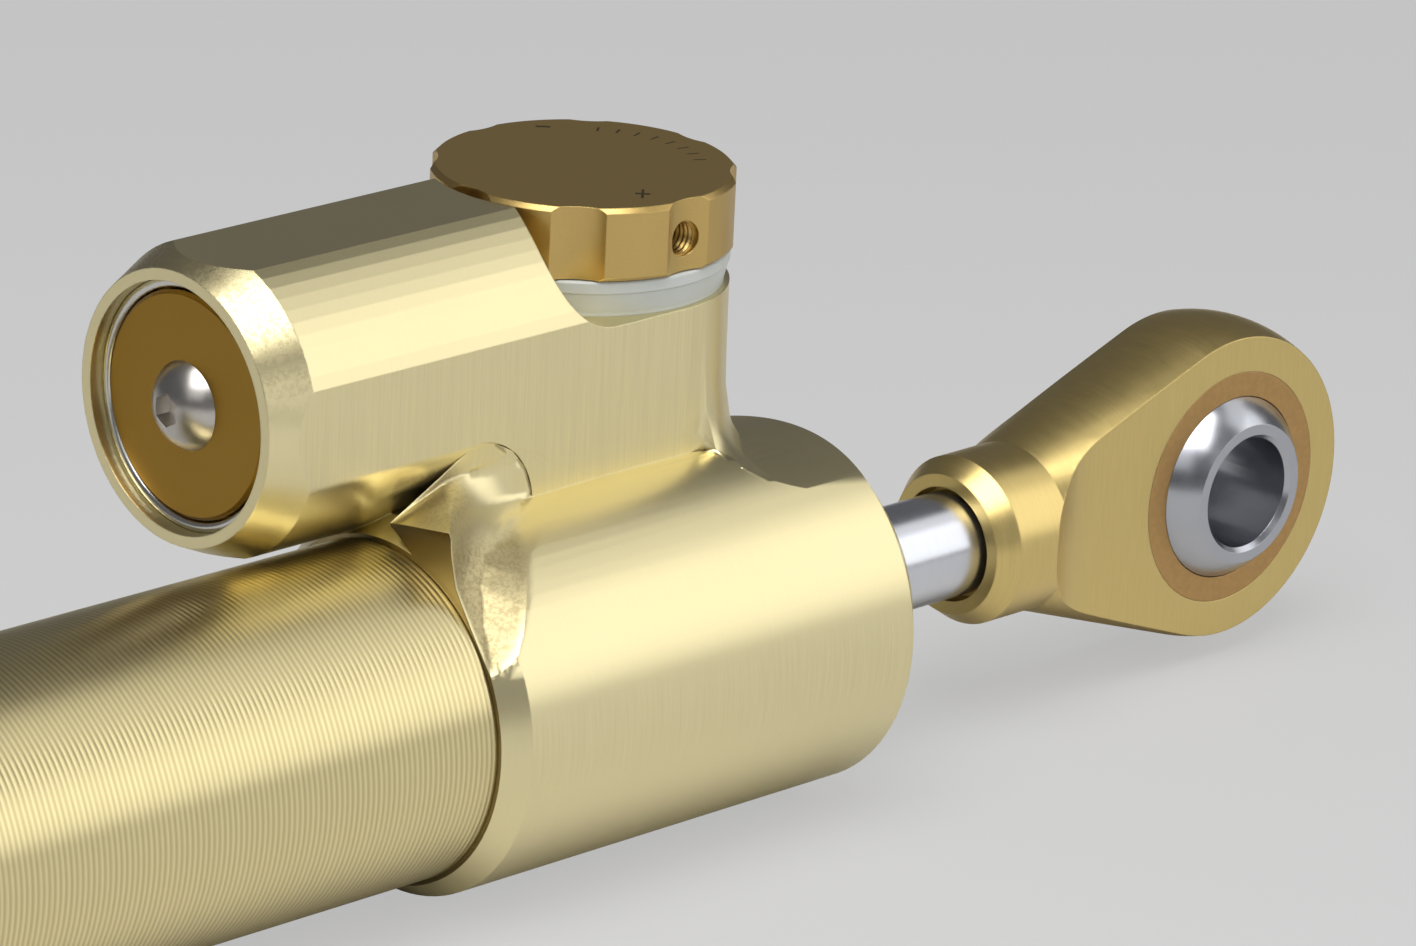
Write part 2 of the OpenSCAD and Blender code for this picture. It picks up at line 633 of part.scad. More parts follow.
module piston_glide_band() color("#6d5a3c") along_x(piston_x + (piston_len - band_w) / 2 + run)
    sleeve(band_w - 2 * run, bore_r - run, bore_r - run - band_t);

module shim_pack() rotate_extrude() polygon(concat([[stud_r + fit, 0]],
    [for (i = [0:2]) each [[shim_r - i * 1.2, i * shim_t / 3], [shim_r - i * 1.2, (i + 1) * shim_t / 3]]],
    [[stud_r + fit, shim_t]]));

module rebound_shims() color(steel) along_x(shoulder_x - shim_t) shim_pack();

module compression_shims() color(steel) along_x(piston_x) mirror([0, 0, 1]) shim_pack();

module piston_nut() color("#7d7e80") along_x(nut_x) difference() {
    cylinder(h = nut_len, r = stud_r + 2.6, $fn = 6);
    translate([0, 0, -eps]) cylinder(h = nut_len + 2 * eps, r = stud_r + fit, $fn = 48);
}

module bump_stop() color(rubber) along_x(bump_x) rotate_extrude() polygon([[rod_r + fit, 0], [bump_r, 0],
    [bump_r, bump_len * 0.6], [rod_r + 1.2, bump_len], [rod_r + fit, bump_len]]);

// Side outline of the rod end between its two milled flats, with the cutter's run-out
module flats_plan() {
    half = eye_w / 2;
    start = collar_face_x + flat_start;
    rise = asin(min(1, (start - collar_face_x - collar_len * 0.6) / flat_runout));
    near = arc(start, half + flat_runout, flat_runout, -90, -90 - rise, 16);
    top = near[len(near) - 1][1];
    polygon(concat([[eye_x + eye_r + 1, half]], near, [[near[len(near) - 1][0], collar_r + 5],
        [collar_face_x - 1, collar_r + 5], [collar_face_x - 1, -collar_r - 5],
        [near[len(near) - 1][0], -collar_r - 5]],
        [for (i = [len(near) - 1:-1:0]) [near[i][0], -near[i][1]]], [[eye_x + eye_r + 1, -half]]));
}

module rod_end_body() color(gold) difference() {
    intersection() {
        along_x() rotate_extrude() polygon(concat([[0, collar_face_x], [collar_r - 1.25, collar_face_x],
            [collar_r, collar_face_x + 1.9], [collar_r, collar_end_x]],
            [for (q = arc(eye_x, 0, eye_r, 90 + cone_angle, 0, 48)) [q[1], q[0]]]));
        translate([head_x, 0, -20]) linear_extrude(40) flats_plan();
    }
    along_x(collar_face_x - eps) cylinder(h = rod_socket + eps, r = rod_r + rod_socket_gap);
    along_x(collar_face_x) cylinder(h = rod_socket + rod_thread_len + fit, r = rod_thread_r + fit);
    translate([head_x + eye_x, long_cut / 2, 0]) rotate([90, 0, 0])
        cylinder(h = long_cut, r = race_r + fit, $fn = 128);
}

module bearing_race() color("#a9834a") translate([head_x + eye_x, eye_w / 2, 0]) rotate([90, 0,
    0]) difference() {
    cylinder(h = eye_w, r = race_r, $fn = 128);
    translate([0, 0, eye_w / 2]) sphere(d = ball_d + 2 * run, $fn = 128);
}

module swivel_ball() color(steel) translate([head_x + eye_x, 0, 0]) rotate([90, 0, 0]) difference() {
    intersection() {
        sphere(d = ball_d, $fn = 128);
        cylinder(h = ball_w, r = ball_d, center = true);
    }
    cylinder(h = ball_w + 1, d = ball_bore, center = true);
    for (s = [0, 1]) mirror([0, 0, s]) translate([0, 0, ball_w / 2 - 0.4])
        rotate_extrude() polygon([[0, 0], [ball_bore / 2, 0], [ball_bore / 2 + 0.4 + eps, 0.4 + eps],
            [0, 0.4 + eps]]);
}

damper_tube();
tube_end_cap();
end_cap_o_ring();
head_o_ring();
head_block();
rod_guide_bush();
rod_seal();
seal_backing_washer();
rod_wiper();
gland_circlip();
reservoir_cap();
cap_o_ring();
cap_retaining_ring();
cap_fill_screw();
floating_piston();
floating_piston_o_ring();
valve_gland();
gland_o_ring();
valve_seat();
knob_seal_ring();
damping_knob();
knob_grub_screw();
adjuster_spindle();
spindle_o_ring();
detent_plunger();
detent_ball();
metering_needle();
piston_rod();
piston();
piston_glide_band();
rebound_shims();
compression_shims();
piston_nut();
bump_stop();
rod_end_body();
bearing_race();
swivel_ball();
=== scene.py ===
import math

import bmesh
import bpy
from mathutils import Matrix, Vector


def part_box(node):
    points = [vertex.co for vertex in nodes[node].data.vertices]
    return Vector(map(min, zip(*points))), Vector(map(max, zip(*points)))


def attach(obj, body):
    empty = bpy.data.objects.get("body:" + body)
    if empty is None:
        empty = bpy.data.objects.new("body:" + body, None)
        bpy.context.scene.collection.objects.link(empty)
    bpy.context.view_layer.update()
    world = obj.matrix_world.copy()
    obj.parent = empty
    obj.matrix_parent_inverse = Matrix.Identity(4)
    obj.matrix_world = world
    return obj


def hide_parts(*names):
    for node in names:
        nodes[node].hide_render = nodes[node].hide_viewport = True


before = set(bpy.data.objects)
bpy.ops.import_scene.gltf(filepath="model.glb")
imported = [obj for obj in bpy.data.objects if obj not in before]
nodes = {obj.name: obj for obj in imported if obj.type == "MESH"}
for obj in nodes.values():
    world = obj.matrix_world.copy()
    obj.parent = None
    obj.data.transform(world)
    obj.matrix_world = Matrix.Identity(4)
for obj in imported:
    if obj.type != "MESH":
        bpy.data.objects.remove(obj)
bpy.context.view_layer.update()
mm = 0.001
print("stage: frame loaded")


class Graph:
    def __init__(self, tree):
        self.tree = tree

    def node(self, kind, settings=None, values=None, out=0):
        made = self.tree.nodes.new(kind)
        for name, value in (settings or {}).items():
            setattr(made, name, value)
        for name, value in (values or {}).items():
            self.feed(made.inputs[name], value)
        return Wire(self, made.outputs[out])

    def feed(self, target, value):
        if isinstance(value, Wire):
            self.tree.links.new(value.socket, target)
        else:
            target.default_value = value

    def math(self, operation, *values):
        return self.node("ShaderNodeMath", {"operation": operation}, dict(enumerate(values)))


class Wire:
    # One output socket, with arithmetic
    def __init__(self, graph, socket):
        self.graph = graph
        self.socket = socket

    def math(self, operation, *others):
        return self.graph.math(operation, self, *others)

    def __add__(self, other):
        return self.math("ADD", other)

    __radd__ = __add__

    def __mul__(self, other):
        return self.math("MULTIPLY", other)

    __rmul__ = __mul__

    def __sub__(self, other):
        return self.math("SUBTRACT", other)

    def __rsub__(self, other):
        return self.graph.math("SUBTRACT", other, self)

    def __pow__(self, other):
        return self.math("POWER", other)

    def __neg__(self):
        return self.math("MULTIPLY", -1.0)

    def absolute(self):
        return self.math("ABSOLUTE")

    def sine(self):
        return self.math("SINE")

    def larger(self, other):
        return self.math("MAXIMUM", other)

    def inside(self, limit):
        # 1 where the value's size is under limit
        return self.absolute().math("LESS_THAN", limit)

    def between(self, low, high):
        # 0 below low, 1 above high, smooth between
        return self.graph.node("ShaderNodeMapRange", {"interpolation_type": "SMOOTHSTEP"},
                               {0: self, 1: low, 2: high, 3: 0.0, 4: 1.0})

    def part(self, letter):
        return self.graph.node("ShaderNodeSeparateXYZ", None, {0: self}, out="XYZ".index(letter))

    def scaled(self, vector):
        return self.graph.node("ShaderNodeVectorMath", {"operation": "MULTIPLY"}, {0: self, 1: vector})

    def noise(self, detail=2.0, roughness=0.5, scale=1.0):
        return self.graph.node("ShaderNodeTexNoise", None, {
            "Vector": self, "Scale": scale, "Detail": detail, "Roughness": roughness})


def mixColour(graph, mask, low, high):
    # low where mask is 0, high where it is 1
    return graph.node("ShaderNodeMix", {"data_type": "RGBA"}, {0: mask, 6: low, 7: high}, out=2)


def linear(value):
    # A screen value from 0 to 255 as linear light
    part = value / 255
    return part / 12.92 if value <= 10.31 else ((part + 0.055) / 1.055) ** 2.4


def rgb(*values):
    return tuple(linear(v) for v in values) + (1.0,)


def lighter(colour, factor):
    return tuple(min(1.0, c * factor) for c in colour[:3]) + (1.0,)


def newMaterial(name):
    material = bpy.data.materials.new(name)
    material.use_nodes = True
    graph = Graph(material.node_tree)
    shader = material.node_tree.nodes["Principled BSDF"]
    place = graph.node("ShaderNodeTexCoord", out=3)
    return material, graph, shader, place


# What the plainer finishes share; depths in mm, scales per metre
finish = {
    "patchScale": 900,
    "patchRough": 0.03,
    "streakRough": 0.3,
    "streakDepth": 0.006,
    "moulded": 1500,
    "mouldedRough": 0.15,
    "mouldedDepth": 0.02,
    "cloudScale": 200,
    "cloudTint": 0.06,
    "bevelSamples": 4,
}


def relief(graph, shader, height, strength, depth, edge):
    # A bump from height over edges softened by a bevel; depth and edge in mm
    rounded = graph.node("ShaderNodeBevel", {"samples": finish["bevelSamples"]}, {"Radius": edge * mm})
    graph.feed(shader.inputs["Normal"], graph.node("ShaderNodeBump", None, {
        "Strength": strength, "Distance": depth * mm, "Height": height, "Normal": rounded}))


def metal(name, colour, rough, grain, grainDepth=0.3, tint=0.12, edge=0.12):
    # Metal with a grain stretched by the scales in grain, patches of roughness, and softened edges
    material, graph, shader, place = newMaterial(name)
    streaks = place.scaled(grain).noise(detail=3.0, roughness=0.6)
    patches = place.noise(detail=2.0, scale=finish["patchScale"])
    graph.feed(shader.inputs["Base Color"],
               mixColour(graph, streaks, lighter(colour, 1 - tint), lighter(colour, 1 + tint)))
    graph.feed(shader.inputs["Roughness"], rough + (streaks - 0.5) * (finish["streakRough"] * rough)
               + (patches - 0.5) * finish["patchRough"])
    graph.feed(shader.inputs["Metallic"], 1.0)
    relief(graph, shader, streaks, grainDepth, finish["streakDepth"], edge)
    return material


def plain(name, colour, rough, depth=0.2, specular=0.5, edge=0.1):
    # Rubber and plastic: a fine moulded or worn grain
    material, graph, shader, place = newMaterial(name)
    grain = place.noise(detail=3.0, scale=finish["moulded"])
    cloud = place.noise(detail=1.0, scale=finish["cloudScale"])
    tint = finish["cloudTint"]
    graph.feed(shader.inputs["Base Color"],
               mixColour(graph, cloud, lighter(colour, 1 - tint), lighter(colour, 1 + tint)))
    graph.feed(shader.inputs["Roughness"], rough + (grain - 0.5) * finish["mouldedRough"])
    graph.feed(shader.inputs["Specular IOR Level"], specular)
    relief(graph, shader, grain, depth, finish["mouldedDepth"], edge)
    return material


def paint(material, *names):
    for name in names:
        mesh = nodes[name].data
        mesh.materials.clear()
        mesh.materials.append(material)


# Colours of the anodised and bare metals that give the part its look
palette = {
    "pale": rgb(231, 219, 172),
    "tube": rgb(226, 213, 163),
    "deep": rgb(200, 171, 106),
    "orange": rgb(158, 122, 48),
    "rodEnd": rgb(220, 196, 128),
    "bronze": rgb(190, 152, 98),
    "chrome": rgb(216, 218, 224),
}

# Pairs ending in X, Low, High, End, Front or Soft are in metres, from where to where a mask fades
head = {
    "brush": (5200, 200, 110),
    "brushStrength": 0.3,
    "brushDepth": 0.008,
    "brushTrace": 0.22,
    "satin": 9000,
    "satinShare": 0.12,
    "broad": 60,
    "tint": (0.88, 1.1),
    "flatFacing": (0.97, 0.9995),
    "roughFlat": 0.4,
    "roughBarrel": 0.33,
    "roughGrain": 0.14,
    "roughBroad": 0.04,
    "edge": 0.16,
    # The barrel's end face is darkened as painted shade
    "endFacing": (0.9, 0.97),
    "endX": (0.0515, 0.0519),
    "endShade": 0.74,
    # The reservoir's end chamfer: partly its own deeper, speckled gold, partly painted shade where it
    # faces up
    "mouthFacing": (0.15, 0.35),
    "mouthUp": (0.1, 0.6),
    "mouthX": (0.0455, 0.0475),
    "mouthShade": (0.12, 0.26),
    "mouthRough": 0.1,
    "speckle": 2600,
    "speckleLimits": (0.42, 0.6),
    # The blend's hollow and its root under the reservoir are darkened as painted shade and painted
    # reflection
    "hollowEdge": (0.00827, 1.11, 0.0543),
    "hollowSoft": (-0.0004, 0.0010),
    "hollowX": (0.0521, 0.0524),
    "hollowFront": (0.004, 0.007),
    "hollowLow": (0.0040, 0.0062),
    "hollowHigh": (0.0145, 0.0185),
    "hollowShade": 0.52,
    "rootLow": (0.0160, 0.0180),
    "rootHigh": (0.0196, 0.0205),
    "rootEnd": (0.0565, 0.0600),
    "rootX": (0.0515, 0.0523),
    "rootFront": (0.0003, 0.0012),
    "rootShade": 0.42,
    # The speckle and added roughness of that painted shade, and the darker gold that the end face,
    # chamfer, hollow and root mix to
    "shadeSpecks": (0.85, 0.3),
    "shadeRough": 0.2,
    "shadeAndDeepTone": 0.35,
}


def makeHead():
    # Anodised head: brushed down its side flats, satin with a trace of the same brushing elsewhere
    material, graph, shader, place = newMaterial("headGold")
    x = place.part("X")
    z = place.part("Z")
    toFront = -place.part("Y")
    side = graph.node("ShaderNodeNewGeometry", out=1).part("Y").absolute().between(*head["flatFacing"])
    brush = place.scaled(head["brush"]).noise(detail=3.0, roughness=0.65)
    satin = place.noise(detail=2.0, scale=head["satin"])
    broad = place.noise(detail=1.0, scale=head["broad"])
    weight = head["brushTrace"] + side * (1 - head["brushTrace"])
    mixed = 0.5 + (brush - 0.5) * weight + (satin - 0.5) * head["satinShare"]
    # The barrel's end face is darkened as painted shade; the reservoir's end chamfer is speckled, partly
    # its own deeper gold and partly painted shade where it faces up
    flat = graph.node("ShaderNodeNewGeometry", out=3)
    toTube = -flat.part("X")
    endFaceShade = toTube.between(*head["endFacing"]) * x.between(*head["endX"])
    # Partly the chamfer's own deeper, speckled anodised gold, partly painted shade on its upward-facing
    # part
    mouth = (toTube.between(*head["mouthFacing"]) * (1 - x.between(*head["mouthX"]))
             * flat.part("Z").between(*head["mouthUp"]))
    specks = place.noise(detail=3.0, roughness=0.7, scale=head["speckle"]).between(*head["speckleLimits"])
    # Painted shade and painted reflection darken the blend's hollow and its root under the reservoir, with
    # a speckle, and make them rougher
    startZ, lean, startX = head["hollowEdge"]
    rightEdge = (z - startZ) * lean + startX
    hollow = ((rightEdge - x).between(*head["hollowSoft"]) * x.between(*head["hollowX"])
              * toFront.between(*head["hollowFront"]) * z.between(*head["hollowLow"])
              * (1 - z.between(*head["hollowHigh"])))
    root = (z.between(*head["rootLow"]) * (1 - z.between(*head["rootHigh"]))
            * (1 - x.between(*head["rootEnd"])) * x.between(*head["rootX"])
            * toFront.between(*head["rootFront"]))
    base, gain = head["shadeSpecks"]
    hollowRootShade = (hollow * head["hollowShade"]).larger(root * head["rootShade"]) * (base + specks * gain)
    base, gain = head["mouthShade"]
    dark = endFaceShade * head["endShade"] + mouth * (base + specks * gain) + hollowRootShade
    low, high = head["tint"]
    gold = mixColour(graph, mixed, lighter(palette["pale"], low), lighter(palette["pale"], high))
    shadeAndDeepGold = lighter(palette["orange"], head["shadeAndDeepTone"])
    graph.feed(shader.inputs["Base Color"], mixColour(graph, dark, gold, shadeAndDeepGold))
    rough = (side * head["roughFlat"] + (1 - side) * head["roughBarrel"]
             + mouth * (specks - 0.5) * head["mouthRough"] + hollowRootShade * head["shadeRough"])
    graph.feed(shader.inputs["Roughness"], rough + (mixed - 0.5) * head["roughGrain"]
               + (broad - 0.5) * head["roughBroad"])
    graph.feed(shader.inputs["Metallic"], 1.0)
    relief(graph, shader, mixed, head["brushStrength"], head["brushDepth"], head["edge"])
    return material


# Places and sizes of the marks in metres, their arc in radians
knob = {
    "centre": (0.0825, 0.0104),
    "plus": (0.0806, 0.0014),
    "minus": (0.0868, 0.0200),
    "arm": 0.00062,
    "stroke": 0.00011,
    "tickCount": 36,
    "tickRadius": (0.0093, 0.0104),
    "tickArc": (-0.55, 0.85),
    "ink": rgb(62, 58, 52),
    "inkShare": 0.8,
    "topFacing": (0.9, 0.99),
    "grain": 6000,
    "grainStrength": 0.3,
    "grainDepth": 0.006,
    "tint": 0.07,
    "rough": 0.33,
    "roughGrain": 0.12,
    "roughTop": 0.08,
    "edge": 0.14,
}


def makeKnob():
    # Deep gold, with a row of plain dark ticks between a plus and a minus sign on its top face
    material, graph, shader, place = newMaterial("knobGold")
    grain = place.noise(detail=3.0, scale=knob["grain"])
    x = place.part("X")
    y = place.part("Y")
    diagonal = math.sqrt(0.5)
    signs = []
    for middle in (knob["plus"], knob["minus"]):
        u = (x - middle[0]) * diagonal - (y - middle[1]) * diagonal
        v = (x - middle[0]) * diagonal + (y - middle[1]) * diagonal
        sign = u.inside(knob["arm"]) * v.inside(knob["stroke"] * 2)
        if middle == knob["plus"]:
            sign = sign.larger(v.inside(knob["arm"] * 2) * u.inside(knob["stroke"]))
        signs.append(sign)
    x = x - knob["centre"][0]
    y = y - knob["centre"][1]
    radius = (x * x + y * y) ** 0.5
    angle = y.math("ARCTAN2", x)
    count = knob["tickCount"]
    turn = (angle * (count / (2 * math.pi)) + 0.5).math("FRACT")
    inner, outer = knob["tickRadius"]
    band = (radius - (inner + outer) / 2).inside((outer - inner) / 2)
    low, high = knob["tickArc"]
    sweep = (angle - (low + high) / 2).inside((high - low) / 2)
    ticks = (turn - 0.5).inside(knob["stroke"] / (2 * math.pi * outer) * count) * band * sweep
    topFace = graph.node("ShaderNodeNewGeometry", out=1).part("Z").between(*knob["topFacing"])
    marks = (signs[0] + signs[1] + ticks) * topFace
    colour = palette["deep"]
    gold = mixColour(graph, grain, lighter(colour, 1 - knob["tint"]), lighter(colour, 1 + knob["tint"]))
    graph.feed(shader.inputs["Base Color"], mixColour(graph, marks * knob["inkShare"], gold, knob["ink"]))
    graph.feed(shader.inputs["Roughness"], knob["rough"] + (grain - 0.5) * knob["roughGrain"]
               + topFace * knob["roughTop"])
    graph.feed(shader.inputs["Metallic"], 1.0)
    relief(graph, shader, grain, knob["grainStrength"], knob["grainDepth"], knob["edge"])
    return material


headGold = makeHead()
knobGold = makeKnob()
deepGold = metal("deepGold", palette["deep"], 0.34, (7000, 7000, 7000), 0.3, tint=0.06, edge=0.14)
orangeGold = metal("orangeGold", palette["orange"], 0.36, (7000, 7000, 7000), 0.2, tint=0.06, edge=0.06)
rodEndGold = metal("rodEndGold", palette["rodEnd"], 0.33, (6000, 250, 250), 0.5, tint=0.08, edge=0.16)
chrome = metal("hardChrome", palette["chrome"], 0.25, (2500, 120, 120), 0.12, tint=0.04, edge=0.05)
ballSteel = metal("ballSteel", rgb(186, 188, 194), 0.25, (700, 700, 700), 0.08, tint=0.05, edge=0.08)
screwSteel = metal("screwSteel", rgb(196, 192, 186), 0.3, (2500, 2500, 2500), 0.2, tint=0.08, edge=0.03)
springWire = metal("springWire", rgb(214, 212, 206), 0.25, (400, 2200, 2200), 0.2, tint=0.08, edge=0.03)
turnedSteel = metal("turnedSteel", rgb(196, 197, 200), 0.32, (3200, 200, 200), 0.3)
blackSteel = metal("blackSteel", rgb(104, 104, 108), 0.42, (1200, 1200, 1200), 0.3)
bareAluminium = metal("bareAluminium", rgb(214, 215, 217), 0.34, (3000, 180, 180), 0.3)
bronze = metal("sinteredBronze", palette["bronze"], 0.38, (1600, 1600, 1600), 0.35, tint=0.15)
brass = metal("turnedBrass", rgb(216, 190, 120), 0.3, (200, 200, 3000), 0.3)
bronzePlastic = plain("bronzePlastic", rgb(134, 110, 78), 0.5)
greyPlastic = plain("greyPlastic", rgb(196, 200, 196), 0.38, 0.12, specular=0.4, edge=0.18)
blackRubber = plain("blackRubber", rgb(38, 38, 39), 0.7, 0.35)

paint(headGold, "head_block")
paint(knobGold, "damping_knob")
paint(deepGold, "tube_end_cap")
paint(orangeGold, "reservoir_cap")
paint(rodEndGold, "rod_end_body")
paint(chrome, "piston_rod")
paint(ballSteel, "swivel_ball", "detent_ball")
paint(screwSteel, "cap_fill_screw")
paint(springWire, "cap_retaining_ring", "gland_circlip")
paint(turnedSteel, "adjuster_spindle", "piston_nut", "seal_backing_washer", "detent_plunger",
      "metering_needle", "rebound_shims", "compression_shims")
paint(blackSteel, "knob_grub_screw")
paint(bareAluminium, "piston", "floating_piston")
paint(bronze, "bearing_race", "rod_guide_bush")
paint(brass, "valve_seat", "valve_gland")
paint(bronzePlastic, "piston_glide_band")
paint(greyPlastic, "knob_seal_ring")
paint(blackRubber, "end_cap_o_ring", "head_o_ring", "rod_seal", "rod_wiper", "cap_o_ring",
      "floating_piston_o_ring", "gland_o_ring", "spindle_o_ring", "bump_stop")
print("stage: materials")


def meshPiece(name, verts, faces, material, body, smooth=True):
    # A new piece from points in mm, riding on a body
    mesh = bpy.data.meshes.new(name)
    mesh.from_pydata([Vector(v) * mm for v in verts], [], faces)
    mesh.validate()
    bm = bmesh.new()
    bm.from_mesh(mesh)
    bmesh.ops.recalc_face_normals(bm, faces=bm.faces)
    bm.to_mesh(mesh)
    bm.free()
    for polygon in mesh.polygons:
        polygon.use_smooth = smooth
    mesh.materials.append(material)
    piece = bpy.data.objects.new(name, mesh)
    bpy.context.scene.collection.objects.link(piece)
    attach(piece, body)
    return piece


def revolveX(profile, segments):
    # A closed profile of (x, radius) points, turned about the X axis
    verts = []
    faces = []
    for x, radius in profile:
        for k in range(segments):
            angle = 2 * math.pi * k / segments
            verts.append((x, radius * math.cos(angle), radius * math.sin(angle)))
    for i in range(len(profile)):
        here = i * segments
        there = (i + 1) % len(profile) * segments
        for k in range(segments):
            after = (k + 1) % segments
            faces.append((here + k, here + after, there + after, there + k))
    return verts, faces


# Sizes in mm; the bump's depth too
tube = {
    "start": -52.0,
    "end": 52.0,
    "radius": 14.2,
    "bore": 12.5,
    "spigotEnd": 62.0,
    "spigotRadius": 13.3,
    "bevel": 0.15,
    "seatStep": 0.02,
    "firstGroove": 0.3,
    "lastGap": 0.05,
    "pitch": 0.55,
    "depth": 0.045,
    "steps": 4,
    "segments": 144,
    # How much each groove's bottom is painted darker, as painted shade, and the tones of its bottom and
    # ridge
    "valleyShade": 0.34,
    "valleyTone": 0.62,
    "ridgeTone": 1.04,
    "turning": (5200, 45, 45),
    "turningShade": 0.12,
    "turningStrength": 0.1,
    "turningDepth": 0.004,
    "cloud": 70,
    "rough": 0.3,
    "roughTurning": 0.08,
    "roughCloud": 0.03,
}


def makeGrooved(first):
    # Each groove's bottom is painted darker, as painted shade, and the turning leaves a fine grain around
    # the tube
    material, graph, shader, place = newMaterial("groovedGold")
    turning = place.scaled(tube["turning"]).noise(detail=2.0)
    cloud = place.noise(detail=2.0, scale=tube["cloud"])
    phase = (place.part("X") - first * mm) * (2 * math.pi / (tube["pitch"] * mm))
    valley = (phase - math.pi / 2).sine() * 0.5 + 0.5
    shade = valley * tube["valleyShade"] + (turning - 0.5) * tube["turningShade"]
    ridgeGold = lighter(palette["tube"], tube["ridgeTone"])
    valleyGold = lighter(palette["orange"], tube["valleyTone"])
    graph.feed(shader.inputs["Base Color"], mixColour(graph, shade, ridgeGold, valleyGold))
    graph.feed(shader.inputs["Roughness"], tube["rough"] + (turning - 0.5) * tube["roughTurning"]
               + (cloud - 0.5) * tube["roughCloud"])
    graph.feed(shader.inputs["Metallic"], 1.0)
    graph.feed(shader.inputs["Normal"], graph.node("ShaderNodeBump", None, {
        "Strength": tube["turningStrength"], "Distance": tube["turningDepth"] * mm, "Height": turning}))
    return material


def makeTube():
    # The tube with its fine turned grooves, each a shallow round hollow between two ridges
    start, end, radius = tube["start"], tube["end"], tube["radius"]
    first = start + tube["firstGroove"]
    profile = [(start, tube["bore"]), (start, radius - tube["bevel"]), (start + tube["bevel"], radius)]
    for groove in range(int((end - start) / tube["pitch"])):
        for step in range(tube["steps"]):
            part = step / tube["steps"]
            x = first + (groove + part) * tube["pitch"]
            if x < end - tube["lastGap"]:
                profile.append((x, radius - tube["depth"] * math.sin(math.pi * part)))
    profile += [(end, radius), (end + tube["seatStep"], tube["spigotRadius"]),
                (tube["spigotEnd"], tube["spigotRadius"]), (tube["spigotEnd"], tube["bore"])]
    verts, faces = revolveX(profile, tube["segments"])
    piece = meshPiece("tube_grooved", verts, faces, makeGrooved(first), "housing")
    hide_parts("damper_tube")


makeTube()
print("stage: tube")

# The blend's places are in mm from the head's left face, its boxes in mm in the frame
blend = {
    "headX": 52.0,
    "wallY": -1.99,
    "columns": 8,
    "sag": (-0.162, 0.819, -0.333),
    "sagStart": 0.4,
    "tip": (7.9, -1.95, 21.62),
    "fillRoot": (-0.5, -0.6, 15.9),
    "cutRoot": (1.4, -2.85, 15.4),
    "cutGrow": 1.8,
    "edges": (
        ((-0.5, -13.22, 6.07), (2.3, -13.66, 8.27)),
        ((-0.5, -12.4, 7.35), (3.5, -12.86, 9.43)),
        ((-0.5, -11.6, 8.6), (4.8, -11.56, 10.97)),
        ((-0.5, -10.05, 10.9), (6.6, -9.77, 12.6)),
        ((-0.5, -8.8, 12.9), (8.5, -7.87, 13.87)),
        ((-0.5, -8.2, 15.3), (10.6, -5.78, 14.86)),
        ((-0.5, -8.05, 17.0), (12.7, -3.69, 15.5)),
        ((1.1, -6.5, 17.9), (14.2, -1.95, 15.75)),
        ((2.2, -4.8, 18.4), (14.16, -1.95, 16.5)),
        ((3.3, -3.2, 18.5), (13.33, -1.95, 18.6)),
        ((4.2, -1.8, 18.5), (11.84, -1.95, 20.24)),
        ((5.4, -1.0, 19.4), (9.88, -1.95, 21.29)),
    ),
    "planeWeld": 1e-6,
    "sourceWeld": 1e-4,
    "weld": 1e-3,
    "blendBox": ((52.2, 66.4), (-14.2, -0.8), (6, 21.8)),
    "footBox": ((85, 98), (-9.5, 1), (11, 19.2)),
    "footSide": 0.995,
    "footAlong": 0.02,
    "footTurns": 6,
    "sharpAngle": 24,
    "blendAngle": 62,
    "mouthAngle": 4.2,
    "mouthEnd": 49,
    "facetAngle": 4.2,
    "facetAlong": 0.01,
    "shoulder": (10.4, 25.6, 12.9),
}


def inBox(point, box):
    return all(low < value < high for value, (low, high) in zip(point, box))


